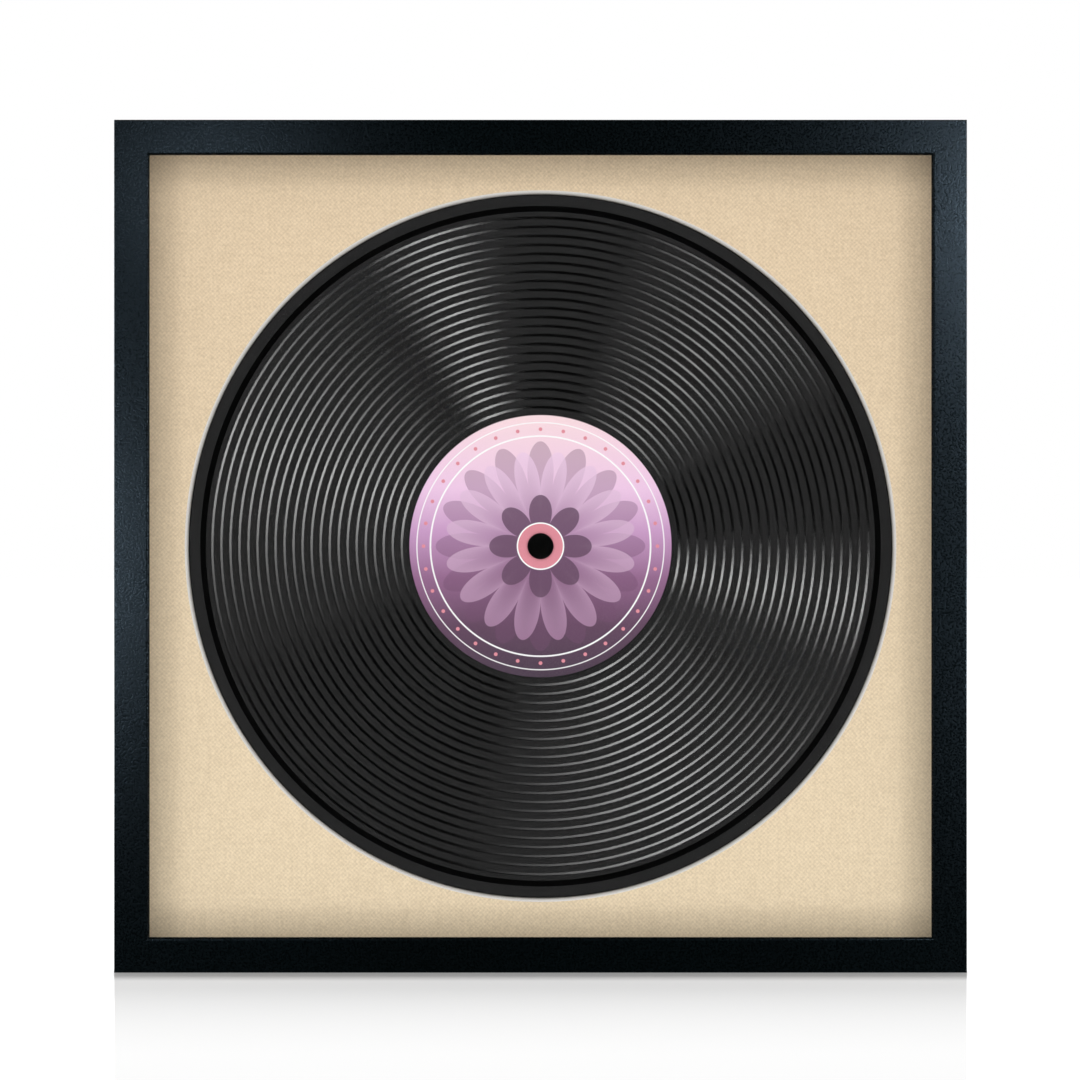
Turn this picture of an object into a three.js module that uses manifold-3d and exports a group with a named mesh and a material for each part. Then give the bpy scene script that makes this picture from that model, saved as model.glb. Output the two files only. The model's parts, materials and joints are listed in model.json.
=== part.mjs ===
// A square black shadow-box frame that stands upright and shows one twelve-inch record in a round mat window.
// X runs to the right, Y from the front to the back and Z up. Lengths are in millimetres.
// The origin is on the floor, under the middle of the frame's width and of its whole depth.
import * as THREE from "three";
import { mergeVertices } from "three/addons/utils/BufferGeometryUtils.js";
import Module from "manifold-3d";

// Record
const recordRadius = 151;
const recordThick = 1.9;
const recordEdgeRadius = 0.5;
const spindleRadius = 3.62; // the hole in its middle
const labelRadius = 56;
const labelThick = 0.2;
const labelRingGap = 0.8; // dark ring between the label and the vinyl
const rimWidth = 4.9; // plain rim
const rimBandWidth = 2.5; // dark step inside the rim
const rimBandDepth = 0.35;
const grooveCount = 22;
const grooveWidth = 1.25;
const grooveDepth = 0.42;
const grooveStart = 3.7; // label's edge to the first groove's middle
const grooveEnd = 2.6; // last groove's middle to the dark step

// Frame mouldings
const matMargin = 16; // tan mat seen between the record and the moulding, where it is narrowest
const faceWidth = 15; // a moulding seen from the front
const railDepth = 28; // front face to back face
const lipThick = 4.5; // lip in front of the glazing
const lipReach = 3.5; // how far the lip covers the glazing
const outerEdgeRadius = 1.2;
const sightEdgeRadius = 0.8;
const backEdgeRadius = 0.5;
const mitreGap = 0.1; // each end stops this far short of the mitre line

// What lies in the rabbet, front to back
const rabbetGap = 0.5; // all round, between the mouldings and what lies in them
const seatGap = 0.1; // between pieces that rest on each other
const glazingThick = 2;
const spacerThick = 2.8;
const facingThick = 0.3;
const coreThick = 1.1;
const mountThick = 5;
const backingThick = 3;
const windowGap = 0.35; // record's rim to the narrow side of the mat's slanted cut
const bevelDegrees = 45;
const recordLift = 0.3; // record to the board behind it

// Hub that carries the record
const capRadius = 5.6;
const capThick = 1.2;
const capEdgeRadius = 0.6;
const shaftRadius = 3.5;
const shaftHoleGap = 0.4; // shaft to the hole in the board
const nutRadius = 10;
const nutThick = 2.4;
const nutBoreGap = 0.15;
const nutPocketGap = 0.5;

// Wood screws
const screwHeadRadius = 3.4;
const screwHeadHeight = 1.8;
const screwDomeHeight = 0.7;
const screwShankRadius = 1.6;
const screwLength = 10; // under the head
const screwTipLength = 2.4;
const screwHeadGap = 0.15; // between the head and what it holds
const screwHoleGap = 0.2;
const crossLength = 3.8;
const crossWidth = 0.9;
const crossDepth = 1;

// Turn buttons
const buttonCornerDistance = 121; // frame's corner to the button's screw
const buttonHold = 12; // how far the tip reaches over the backing board
const buttonHeadRadius = 4.8;
const buttonTipRadius = 3.4;
const buttonThick = 1.2;
const buttonLift = 0.3; // running gap over the moulding

// Ring hangers
const hangerDrop = 78; // frame's top to the loop's axis
const hangerEdge = 1; // frame's side to the ring
const wireRadius = 0.8;
const ringHalfWidth = 5.2; // to the middle of the wire
const ringSideLength = 3; // straight part of the ring's sides
const loopBoreGap = 0.25;
const strapThick = 0.8;
const strapSideGap = 0.4; // strap to the ring's sides
const strapLength = 17; // loop's axis to the far end
const strapScrewDrop = 13; // loop's axis to the screw

// V-nails across the mitres
const nailLeg = 6;
const nailThick = 0.7;
const nailDepth = 7;
const nailInset = 3; // from both outer edges
const nailGap = 0.3;

// Bumpers
const bumperInset = 22; // frame's side to the bumper's middle
const bumperRadius = 4.6;
const bumperThick = 4;
const bumperEdgeRadius = 1;

// Sides and steps of round shapes, and how far a cutter stands past what it cuts
const discSides = 48;
const hubSides = 20;
const screwSides = 10;
const loopSides = 12;
const wireSides = 6;
const wireSteps = 30;
const arcSteps = 3;
const outlineSteps = 5;
const overrun = 1;

// Places worked out from the sizes above
const half = recordRadius + matMargin + faceWidth;
const wallWidth = faceWidth - lipReach;
const packHalf = half - wallWidth - rabbetGap;
const glazingY = lipThick + seatGap;
const spacerY = glazingY + glazingThick + seatGap;
const backingY = railDepth - backingThick;
const mountBackY = backingY - seatGap;
const mountY = mountBackY - mountThick;
const coreBackY = mountY - seatGap;
const coreY = coreBackY - coreThick;
const facingY = coreY - facingThick;
const recordY = mountY - recordLift - recordThick;
const capY = recordY - seatGap - capThick;
const frontY = -(railDepth + seatGap + bumperThick) / 2;
const loopInnerRadius = wireRadius + loopBoreGap;
const loopOuterRadius = loopInnerRadius + strapThick;
const hangerX = half - hangerEdge - wireRadius - ringHalfWidth;
const hangerZ = 2 * half - hangerDrop;

const wasm = await Module();
wasm.setup();

// A closed geometry as a solid that can be cut and joined.
function solidFrom(geometry) {
  const bare = geometry.clone();
  bare.deleteAttribute("normal");
  bare.deleteAttribute("uv");
  const merged = mergeVertices(bare);
  return new wasm.Manifold(
    new wasm.Mesh({
      numProp: 3,
      vertProperties: merged.attributes.position.array,
      triVerts: new Uint32Array(merged.index.array),
    }),
  );
}

function geometryFrom(solid) {
  const mesh = solid.getMesh();
  const geometry = new THREE.BufferGeometry();
  geometry.setAttribute("position", new THREE.BufferAttribute(mesh.vertProperties, 3));
  geometry.setIndex(new THREE.BufferAttribute(mesh.triVerts, 1));
  geometry.computeVertexNormals();
  return geometry;
}

function cut(geometry, ...cutters) {
  const left = cutters.reduce((solid, cutter) => solid.subtract(solidFrom(cutter)), solidFrom(geometry));
  return geometryFrom(left);
}

function join(first, second) {
  return geometryFrom(solidFrom(first).add(solidFrom(second)));
}

// A square board around the Y axis, from one depth to another.
function board(halfSide, nearY, farY) {
  const square = new THREE.BoxGeometry(2 * halfSide, farY - nearY, 2 * halfSide);
  return square.translate(0, (nearY + farY) / 2, 0);
}

// A cone or cylinder around the Y axis, from one depth to another.
function cone(nearRadius, farRadius, nearY, farY, sides) {
  const shape = new THREE.CylinderGeometry(farRadius, nearRadius, farY - nearY, sides);
  return shape.translate(0, (nearY + farY) / 2, 0);
}

// An outline drawn in X and Z, given depth along Y from zero backwards.
function plate(outline, thick) {
  const flat = new THREE.ExtrudeGeometry(outline, {
    depth: thick,
    bevelEnabled: false,
    curveSegments: outlineSteps,
  });
  return flat.rotateX(Math.PI / 2).translate(0, thick, 0);
}

// A shape turned around the Y axis, from points of radius and depth.
function turned(points, sides) {
  return new THREE.LatheGeometry(
    points.map(([radius, depth]) => new THREE.Vector2(radius, depth)),
    sides,
  );
}

// Points along a rounded edge, from one angle to another.
function roundedEdge(x, y, radius, fromDegrees, toDegrees) {
  return Array.from({ length: arcSteps + 1 }, (_, i) => {
    const angle = THREE.MathUtils.degToRad(fromDegrees + ((toDegrees - fromDegrees) * i) / arcSteps);
    return [x + radius * Math.cos(angle), y + radius * Math.sin(angle)];
  });
}

const finishes = {
  satinBlack: { color: 0x12171a, roughness: 0.45 },
  clearAcrylic: { color: 0xf4f8fa, roughness: 0.05, transparent: true, opacity: 0.15 },
  blackStrip: { color: 0x17181a, roughness: 0.8 },
  tanLinen: { color: 0xdfc9a6, roughness: 0.95 },
  whiteBoard: { color: 0xe8e4dc, roughness: 0.9 },
  vinyl: { color: 0x252525, roughness: 0.3 },
  labelPaper: { color: 0xc79bc0, roughness: 0.7 },
  blackPlastic: { color: 0x060606, roughness: 0.4 },
  greyBoard: { color: 0xa9a59c, roughness: 0.95 },
  brownBoard: { color: 0x8a6a48, roughness: 0.85 },
  nickel: { color: 0xb9b7b0, roughness: 0.3, metalness: 1 },
  darkRubber: { color: 0x2a2a2a, roughness: 0.9 },
};

function piece(name, geometry, finish) {
  const mesh = new THREE.Mesh(geometry, new THREE.MeshStandardMaterial(finishes[finish]));
  mesh.name = name;
  return mesh;
}

// The moulding's section as depth and height above its outer edge, with the lip at the front.
function railSection() {
  const points = [
    ...roundedEdge(outerEdgeRadius, outerEdgeRadius, outerEdgeRadius, 270, 180),
    ...roundedEdge(sightEdgeRadius, faceWidth - sightEdgeRadius, sightEdgeRadius, 180, 90),
    [lipThick, faceWidth],
    [lipThick, wallWidth],
    [railDepth, wallWidth],
    ...roundedEdge(railDepth - backEdgeRadius, backEdgeRadius, backEdgeRadius, 0, -90),
  ];
  return new THREE.Shape(points.map(([depth, height]) => new THREE.Vector2(depth, height)));
}

// A moulding along X with its outer edge at height zero and both ends cut to the mitre.
function railBlank() {
  const blank = new THREE.ExtrudeGeometry(railSection(), { depth: 1, bevelEnabled: false });
  const places = blank.attributes.position;
  for (let i = 0; i < places.count; i++) {
    const [depth, height] = [places.getX(i), places.getY(i)];
    const end = half - height - mitreGap;
    places.setXYZ(i, places.getZ(i) > 0 ? end : -end, depth, height);
  }
  return blank;
}

// The bent nail at one end of a moulding, made larger all round by the given amount.
function nailBlank(end, grown, pastBack) {
  const near = nailInset - grown;
  const bend = nailInset + nailThick + grown;
  const far = nailInset + nailLeg + grown;
  const corners = [
    [near, near],
    [far, near],
    [far, bend],
    [bend, bend],
    [bend, far],
    [near, far],
  ];
  const outline = new THREE.Shape(corners.map(([x, z]) => new THREE.Vector2(end * (half - x), z)));
  const depth = nailDepth + grown;
  return plate(outline, depth + pastBack).translate(0, railDepth - depth, 0);
}

function screwHole(x, z) {
  const radius = screwShankRadius + screwHoleGap;
  return cone(radius, radius, railDepth - screwLength, railDepth + overrun, screwSides).translate(x, 0, z);
}

function rail(holePlaces) {
  const slots = [-1, 1].map((end) => nailBlank(end, nailGap, overrun));
  return cut(railBlank(), ...slots, ...holePlaces.map(([x, z]) => screwHole(x, z)));
}

// A screw around the Y axis, with the underside of its head at depth zero and its point to the front.
function screw() {
  const domeY = screwHeadHeight - screwDomeHeight;
  const body = turned(
    [
      [0, -screwLength],
      [screwShankRadius, screwTipLength - screwLength],
      [screwShankRadius, 0],
      [screwHeadRadius, 0],
      [screwHeadRadius, domeY],
      [screwHeadRadius * Math.cos(Math.PI / 4), domeY + screwDomeHeight * Math.sin(Math.PI / 4)],
      [0, screwHeadHeight],
    ],
    screwSides,
  );
  const slotHeight = crossDepth + overrun;
  const slotY = screwHeadHeight - crossDepth + slotHeight / 2;
  const across = new THREE.BoxGeometry(crossLength, slotHeight, crossWidth).translate(0, slotY, 0);
  const along = new THREE.BoxGeometry(crossWidth, slotHeight, crossLength).translate(0, slotY, 0);
  return cut(body, across, along);
}

// A turn button whose screw stands at the origin and whose tip points up.
function turnButton() {
  const reach = wallWidth / 2 + rabbetGap + buttonHold - buttonTipRadius;
  const lean = Math.asin((buttonHeadRadius - buttonTipRadius) / reach);
  const outline = new THREE.Shape();
  outline.absarc(0, reach, buttonTipRadius, lean, Math.PI - lean);
  outline.absarc(0, 0, buttonHeadRadius, Math.PI - lean, 2 * Math.PI + lean);
  outline.closePath();
  outline.holes.push(new THREE.Path().absarc(0, 0, screwShankRadius + screwHoleGap, 0, 2 * Math.PI, true));
  return plate(outline, buttonThick);
}

// The four sides of the frame in quarter turns. Each lists the names of its two ends, and the way its hanger lies.
const sides = [
  { name: "bottom", ends: ["left", "right"], hangerWay: 0 },
  { name: "left", ends: ["upper", "lower"], hangerWay: -1 },
  { name: "top", ends: ["right", "left"], hangerWay: 0 },
  { name: "right", ends: ["lower", "upper"], hangerWay: 1 },
];

function frameSide({ name, ends, hangerWay }, turns) {
  const side = new THREE.Group();
  side.rotation.y = (turns * Math.PI) / 2;
  const buttonX = half - buttonCornerDistance;
  const buttonPlaces = [-buttonX, buttonX].map((x) => [x, wallWidth / 2]);
  const hangerPlace = [hangerWay * (hangerZ - strapScrewDrop - half), half - hangerX];
  const railHoles = hangerWay ? [...buttonPlaces, hangerPlace] : buttonPlaces;
  side.add(piece(`rail_${name}`, rail(railHoles), "satinBlack"));
  side.add(piece(`v_nail_${turns + 1}`, nailBlank(-1, 0, 0), "nickel"));
  buttonPlaces.forEach(([x, z], i) => {
    const button = piece(`turn_button_${name}_${ends[i]}`, turnButton(), "nickel");
    button.position.set(x, railDepth + buttonLift, z);
    const buttonScrew = piece(`button_screw_${name}_${ends[i]}`, screw(), "nickel");
    buttonScrew.position.set(x, railDepth + buttonLift + buttonThick + screwHeadGap, z);
    side.add(button, buttonScrew);
  });
  side.children.forEach((child) => (child.position.z -= half));
  return side;
}

// The record in its own place, front at depth zero, with its label seats and its stepped groove lines.
function recordDisc() {
  const labelSeat = labelThick + seatGap;
  const seatRadius = labelRadius + labelRingGap;
  const bandOuter = recordRadius - rimWidth;
  const bandInner = bandOuter - rimBandWidth;
  const firstGroove = labelRadius + grooveStart;
  const pitch = (bandInner - grooveEnd - firstGroove) / (grooveCount - 1);
  const grooves = Array.from({ length: grooveCount }, (_, i) => {
    const inner = firstGroove + i * pitch - grooveWidth / 2;
    const outer = inner + grooveWidth;
    return [[inner, 0], [outer, grooveDepth], [outer, 0]];
  }).flat();
  const edgeX = recordRadius - recordEdgeRadius;
  const outline = [
    [spindleRadius, labelSeat],
    [seatRadius, labelSeat],
    [seatRadius, 0],
    ...grooves,
    [bandInner, 0],
    [bandInner, rimBandDepth],
    [bandOuter, rimBandDepth],
    [bandOuter, 0],
    ...roundedEdge(edgeX, recordEdgeRadius, recordEdgeRadius, -90, 0),
    ...roundedEdge(edgeX, recordThick - recordEdgeRadius, recordEdgeRadius, 0, 90),
    [seatRadius, recordThick],
    [seatRadius, recordThick - labelSeat],
    [spindleRadius, recordThick - labelSeat],
    [spindleRadius, labelSeat],
  ];
  return turned(outline, discSides);
}

// A flat ring around the Y axis, from one depth to another.
function flatRing(innerRadius, outerRadius, nearY, farY, ringSides) {
  const outline = [
    [innerRadius, nearY],
    [outerRadius, nearY],
    [outerRadius, farY],
    [innerRadius, farY],
    [innerRadius, nearY],
  ];
  return turned(outline, ringSides);
}

function hubCap() {
  const outline = [
    [0, 0],
    ...roundedEdge(capRadius - capEdgeRadius, capEdgeRadius, capEdgeRadius, -90, 0),
    [capRadius, capThick],
    [shaftRadius, capThick],
    [shaftRadius, mountBackY - capY],
    [0, mountBackY - capY],
  ];
  return turned(outline, hubSides).translate(0, capY, 0);
}

// The slanted cut through both mat layers, as one cutter.
function windowCutter() {
  const slant = Math.tan(THREE.MathUtils.degToRad(bevelDegrees));
  const farRadius = recordRadius + windowGap - overrun * slant;
  const nearY = facingY - overrun;
  const farY = coreBackY + overrun;
  return cone(farRadius + (farY - nearY) * slant, farRadius, nearY, farY, discSides);
}

function mountBoard() {
  const hole = shaftRadius + shaftHoleGap;
  const pocket = nutRadius + nutPocketGap;
  const pocketY = mountBackY - nutThick - seatGap;
  return cut(
    board(packHalf, mountY, mountBackY),
    cone(hole, hole, mountY - overrun, mountBackY + overrun, hubSides),
    cone(pocket, pocket, pocketY, mountBackY + overrun, hubSides),
  );
}

// Black strips between the glazing and the mat. The upright ones stand between the other two.
function spacers() {
  const depth = facingY - seatGap - spacerY;
  const middleY = spacerY + depth / 2;
  const offset = packHalf - spacerThick / 2;
  const lying = new THREE.BoxGeometry(2 * packHalf, depth, spacerThick).translate(0, middleY, 0);
  const uprightHeight = 2 * (packHalf - spacerThick - seatGap);
  const upright = new THREE.BoxGeometry(spacerThick, depth, uprightHeight).translate(0, middleY, 0);
  return [
    piece("spacer_bottom", lying.clone().translate(0, 0, -offset), "blackStrip"),
    piece("spacer_top", lying.clone().translate(0, 0, offset), "blackStrip"),
    piece("spacer_left", upright.clone().translate(-offset, 0, 0), "blackStrip"),
    piece("spacer_right", upright.clone().translate(offset, 0, 0), "blackStrip"),
  ];
}

// Boards, mat and record, around the middle of the frame.
function contents() {
  const nutInner = shaftRadius + nutBoreGap;
  const labelHole = spindleRadius + seatGap;
  const labelBackY = recordY + recordThick - labelThick;
  const inside = new THREE.Group();
  inside.add(
    piece("glazing", board(packHalf, glazingY, glazingY + glazingThick), "clearAcrylic"),
    ...spacers(),
    piece("mat_facing", cut(board(packHalf, facingY, coreY), windowCutter()), "tanLinen"),
    piece("mat_core", cut(board(packHalf, coreY, coreBackY), windowCutter()), "whiteBoard"),
    piece("record", recordDisc().translate(0, recordY, 0), "vinyl"),
    piece("label_front", flatRing(labelHole, labelRadius, recordY, recordY + labelThick, discSides), "labelPaper"),
    piece("label_back", flatRing(labelHole, labelRadius, labelBackY, labelBackY + labelThick, discSides), "labelPaper"),
    piece("hub_cap", hubCap(), "blackPlastic"),
    piece("hub_nut", flatRing(nutInner, nutRadius, mountBackY - nutThick, mountBackY, hubSides), "blackPlastic"),
    piece("mount_board", mountBoard(), "greyBoard"),
    piece("backing_board", board(packHalf, backingY, railDepth), "brownBoard"),
  );
  return inside;
}

// The hanger's strap: a plate on the moulding, rolled into a loop around the ring's bar.
function hangerStrap() {
  const width = 2 * (ringHalfWidth - wireRadius - strapSideGap);
  const endRadius = width / 2;
  const outline = new THREE.Shape();
  outline.moveTo(endRadius, 0);
  outline.lineTo(-endRadius, 0);
  outline.absarc(0, endRadius - strapLength, endRadius, Math.PI, 2 * Math.PI);
  outline.closePath();
  const hole = new THREE.Path();
  hole.absarc(0, -strapScrewDrop, screwShankRadius + screwHoleGap, 0, 2 * Math.PI, true);
  outline.holes.push(hole);
  const across = (radius, length) =>
    new THREE.CylinderGeometry(radius, radius, length, loopSides)
      .rotateZ(Math.PI / 2)
      .translate(0, loopOuterRadius, 0);
  const rolled = join(plate(outline, strapThick), across(loopOuterRadius, width));
  return cut(rolled, across(loopInnerRadius, width + overrun));
}

// The D-shaped wire ring, hanging from a straight bar along X.
function hangerRing() {
  const barShares = [-0.75, -0.4, 0, 0.4, 0.75];
  const cornerShare = 0.25;
  const bar = barShares.map((share) => new THREE.Vector3(share * ringHalfWidth, 0, 0));
  const bendZ = -cornerShare * ringHalfWidth;
  const bow = Array.from({ length: outlineSteps + 1 }, (_, i) => {
    const angle = (-Math.PI * i) / outlineSteps;
    const z = ringHalfWidth * Math.sin(angle) - ringSideLength;
    return new THREE.Vector3(ringHalfWidth * Math.cos(angle), 0, z);
  });
  const path = new THREE.CatmullRomCurve3(
    [
      ...bar,
      new THREE.Vector3(ringHalfWidth, 0, bendZ),
      ...bow,
      new THREE.Vector3(-ringHalfWidth, 0, bendZ),
    ],
    true,
  );
  const wire = new THREE.Shape(
    Array.from({ length: wireSides }, (_, i) => {
      const angle = (2 * Math.PI * i) / wireSides;
      return new THREE.Vector2(wireRadius * Math.cos(angle), wireRadius * Math.sin(angle));
    }),
  );
  return new THREE.ExtrudeGeometry(wire, { steps: wireSteps, extrudePath: path, bevelEnabled: false });
}

function hanger(name, x) {
  const group = new THREE.Group();
  const ring = piece(`hanger_ring_${name}`, hangerRing(), "nickel");
  ring.position.y = loopOuterRadius;
  const hangerScrew = piece(`hanger_screw_${name}`, screw(), "nickel");
  hangerScrew.position.set(0, strapThick + screwHeadGap, -strapScrewDrop);
  group.add(piece(`hanger_strap_${name}`, hangerStrap(), "nickel"), ring, hangerScrew);
  group.position.set(x, railDepth + seatGap, hangerZ);
  return group;
}

function bumper(name, x) {
  const outline = [
    [0, 0],
    [bumperRadius, 0],
    ...roundedEdge(bumperRadius - bumperEdgeRadius, bumperThick - bumperEdgeRadius, bumperEdgeRadius, 0, 90),
    [0, bumperThick],
  ];
  const pad = piece(`bumper_${name}`, turned(outline, hubSides), "darkRubber");
  pad.position.set(x, railDepth + seatGap, wallWidth / 2);
  return pad;
}

const centred = new THREE.Group();
centred.position.z = half;
centred.add(contents(), ...sides.map(frameSide));

const assembly = new THREE.Group();
assembly.position.y = frontY;
assembly.add(
  centred,
  hanger("left", -hangerX),
  hanger("right", hangerX),
  bumper("left", bumperInset - half),
  bumper("right", half - bumperInset),
);

const recordFrame = new THREE.Group();
recordFrame.add(assembly);

export default recordFrame;
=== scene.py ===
import bpy
import bmesh
import json
from math import asin, atan2, cos, degrees, pi, radians, sin
from mathutils import Matrix, Vector

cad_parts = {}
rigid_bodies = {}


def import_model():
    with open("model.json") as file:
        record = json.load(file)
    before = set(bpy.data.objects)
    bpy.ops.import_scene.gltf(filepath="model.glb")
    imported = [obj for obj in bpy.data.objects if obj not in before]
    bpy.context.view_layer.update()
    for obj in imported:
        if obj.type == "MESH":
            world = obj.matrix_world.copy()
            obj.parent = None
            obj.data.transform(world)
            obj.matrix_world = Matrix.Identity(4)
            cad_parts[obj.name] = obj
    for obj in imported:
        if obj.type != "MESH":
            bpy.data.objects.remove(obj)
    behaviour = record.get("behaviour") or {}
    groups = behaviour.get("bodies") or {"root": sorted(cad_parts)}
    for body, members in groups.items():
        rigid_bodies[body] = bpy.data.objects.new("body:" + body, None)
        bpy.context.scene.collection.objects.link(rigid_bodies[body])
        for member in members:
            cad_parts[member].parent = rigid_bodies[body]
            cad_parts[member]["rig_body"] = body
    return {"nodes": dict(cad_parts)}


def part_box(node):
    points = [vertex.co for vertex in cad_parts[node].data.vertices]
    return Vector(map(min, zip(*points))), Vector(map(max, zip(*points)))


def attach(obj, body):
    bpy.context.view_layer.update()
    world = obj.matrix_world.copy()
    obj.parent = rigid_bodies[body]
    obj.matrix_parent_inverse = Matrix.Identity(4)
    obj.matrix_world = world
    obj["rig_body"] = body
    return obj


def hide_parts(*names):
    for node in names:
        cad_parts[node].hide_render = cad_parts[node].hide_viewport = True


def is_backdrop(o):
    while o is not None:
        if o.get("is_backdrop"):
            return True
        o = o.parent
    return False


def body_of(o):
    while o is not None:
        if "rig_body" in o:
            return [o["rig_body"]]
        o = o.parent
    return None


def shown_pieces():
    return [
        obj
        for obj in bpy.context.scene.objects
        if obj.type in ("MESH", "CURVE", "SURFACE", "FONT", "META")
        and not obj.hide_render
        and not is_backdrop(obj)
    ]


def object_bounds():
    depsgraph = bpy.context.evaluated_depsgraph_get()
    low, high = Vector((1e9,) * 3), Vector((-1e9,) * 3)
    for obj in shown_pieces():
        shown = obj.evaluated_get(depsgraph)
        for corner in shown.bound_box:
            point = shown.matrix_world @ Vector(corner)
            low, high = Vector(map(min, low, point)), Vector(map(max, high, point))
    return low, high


# A black shadow-box frame with one record in a round mat window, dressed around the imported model.
# X runs to the right, Y from the front to the back, Z up. Sizes are in metres.
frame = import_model()
cadLow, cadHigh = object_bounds()
scene = bpy.context.scene
mm = 0.001
middle = Vector((0, 0, (cadLow.z + cadHigh.z) / 2))  # the record's axis runs along Y through here


# Camera: level and straight on, as in the photograph
cameraView = {
    "distance": 3.0,  # lens to the front of the mouldings
    "sensor": 36,  # in millimetres, as Blender gives it
    "clipEnd": 100,
    "imagePixels": 1080,
    "framePixels": 853,  # the frame's width in the photograph
    "middlePixelX": 540.5,
    "middlePixelY": 546.2,
}


def makeCamera(view):
    pixel = (cadHigh.x - cadLow.x) / view["framePixels"]
    centre = view["imagePixels"] / 2
    data = bpy.data.cameras.new("camera")
    data.sensor_width = view["sensor"]
    data.lens = view["sensor"] * view["distance"] / (pixel * view["imagePixels"])
    data.clip_end = view["clipEnd"]
    camera = bpy.data.objects.new("camera", data)
    camera.location = (
        (centre - view["middlePixelX"]) * pixel,
        cadLow.y - view["distance"],
        middle.z + (view["middlePixelY"] - centre) * pixel,
    )
    camera.rotation_euler = (radians(90), 0, 0)
    scene.collection.objects.link(camera)
    scene.camera = camera


makeCamera(cameraView)
scene.view_settings.view_transform = "Standard"
print("camera set")


# Small helpers for node trees
def paint(red, green, blue):
    # a colour as a paint program writes it, from 0 to 255
    shares = [value / 255 for value in (red, green, blue)]
    return tuple(s / 12.92 if s <= 0.04045 else ((s + 0.055) / 1.055) ** 2.4 for s in shares) + (1,)


def feed(tree, socket, value):
    # a socket takes either another node's output or a plain value
    if isinstance(value, bpy.types.NodeSocket):
        tree.links.new(value, socket)
    elif value is not None:
        socket.default_value = value


def addNode(tree, kind, inputs, **settings):
    # a node with its settings made and its inputs fed, by name or by number
    node = tree.nodes.new(kind)
    for name, value in settings.items():
        setattr(node, name, value)
    for key, value in inputs.items():
        feed(tree, node.inputs[key], value)
    return node.outputs


def calc(tree, operation, *values, clamp=False):
    return addNode(tree, "ShaderNodeMath", dict(enumerate(values)), operation=operation, use_clamp=clamp)[0]


def between(tree, share, low, high):
    # low where the share is nothing, high where it is one
    return calc(tree, "MULTIPLY_ADD", share, high - low, low)


def fadeBetween(tree, value, start, end, low=0, high=1):
    # a smooth step, from low at start to high at end
    names = ("Value", "From Min", "From Max", "To Min", "To Max")
    inputs = dict(zip(names, (value, start, end, low, high)))
    return addNode(tree, "ShaderNodeMapRange", inputs, interpolation_type="SMOOTHSTEP")["Result"]


def softEdge(tree, inside, softness):
    # one inside, nothing outside; the first value is the distance in from the edge
    return calc(tree, "ADD", calc(tree, "DIVIDE", inside, softness), 0.5, clamp=True)


def distance(tree, x, y):
    return calc(tree, "SQRT", calc(tree, "MULTIPLY_ADD", x, x, calc(tree, "MULTIPLY", y, y)))


def apart(tree, vector):
    # its X, Y and Z
    return addNode(tree, "ShaderNodeSeparateXYZ", {0: vector})


def blend(tree, share, first, second, kind="FLOAT"):
    inputs = {"Factor": share, "A": first, "B": second}
    return addNode(tree, "ShaderNodeMix", inputs, data_type=kind)["Result"]


def blendColours(tree, share, *colours):
    # each of the two is a socket, or red, green and blue from 0 to 255
    first, second = [paint(*colour) if isinstance(colour, tuple) else colour for colour in colours]
    return blend(tree, share, first, second, "RGBA")


def noiseAt(tree, place, scale, detail=2):
    inputs = {"Vector": place, "Scale": scale, "Detail": detail}
    return addNode(tree, "ShaderNodeTexNoise", inputs)["Fac"]


def stretched(tree, place, scale):
    return addNode(tree, "ShaderNodeMapping", {"Vector": place, "Scale": scale})["Vector"]


def objectPlace(tree):
    return addNode(tree, "ShaderNodeTexCoord", {})["Object"]


def startMaterial(name, **settings):
    material = bpy.data.materials.new(name)
    material.use_nodes = True
    shader = material.node_tree.nodes["Principled BSDF"]
    for socket, value in settings.items():
        shader.inputs[socket.replace("_", " ")].default_value = value
    return material, material.node_tree, shader


def dress(shader, colour, roughness, height, relief):
    # what nearly every finish sets; relief is how deep its grain goes
    tree = shader.id_data
    bump = addNode(tree, "ShaderNodeBump", {"Height": height, "Distance": relief})["Normal"]
    for name, value in (("Base Color", colour), ("Roughness", roughness), ("Normal", bump)):
        feed(tree, shader.inputs[name], value)


def makeGroup(name, build, **inputs):
    # build gets the group and its inputs, and gives back the outputs by name; an input of None is a vector
    group = bpy.data.node_groups.new(name, "ShaderNodeTree")
    for label, value in inputs.items():
        kind = "NodeSocketVector" if value is None else "NodeSocketFloat"
        label = label.replace("_", " ")
        feed(group, group.interface.new_socket(name=label, in_out="INPUT", socket_type=kind), value)
    results = build(group, group.nodes.new("NodeGroupInput").outputs)
    for label in results:
        group.interface.new_socket(name=label, in_out="OUTPUT", socket_type="NodeSocketFloat")
    wanted = group.nodes.new("NodeGroupOutput").inputs
    for label, value in results.items():
        feed(group, wanted[label], value)
    return group


def placed(tree, group, **values):
    inputs = {label.replace("_", " "): value for label, value in values.items()}
    return addNode(tree, "ShaderNodeGroup", inputs, node_tree=group)


# Effects that several materials use
def pebbledGrain(group, given):
    # as on satin film or moulded plastic, with a finer grain over it
    place = objectPlace(group)
    frequency = calc(group, "DIVIDE", 1, given["Size"])
    pebbles = noiseAt(group, place, frequency)
    finer = noiseAt(group, place, calc(group, "MULTIPLY", frequency, 2.7), 3)
    mixed = calc(group, "MULTIPLY_ADD", finer, given["Roughening"], pebbles)
    return {"Height": mixed, "Tone": fadeBetween(group, mixed, 0.45, 1.05)}


def softClouds(group, given):
    # slow, soft variation over a whole surface
    cloud = noiseAt(group, objectPlace(group), calc(group, "DIVIDE", 1, given["Size"]), 3)
    return {"Value": fadeBetween(group, cloud, 0.3, 0.7, given["Low"], given["High"])}


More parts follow.
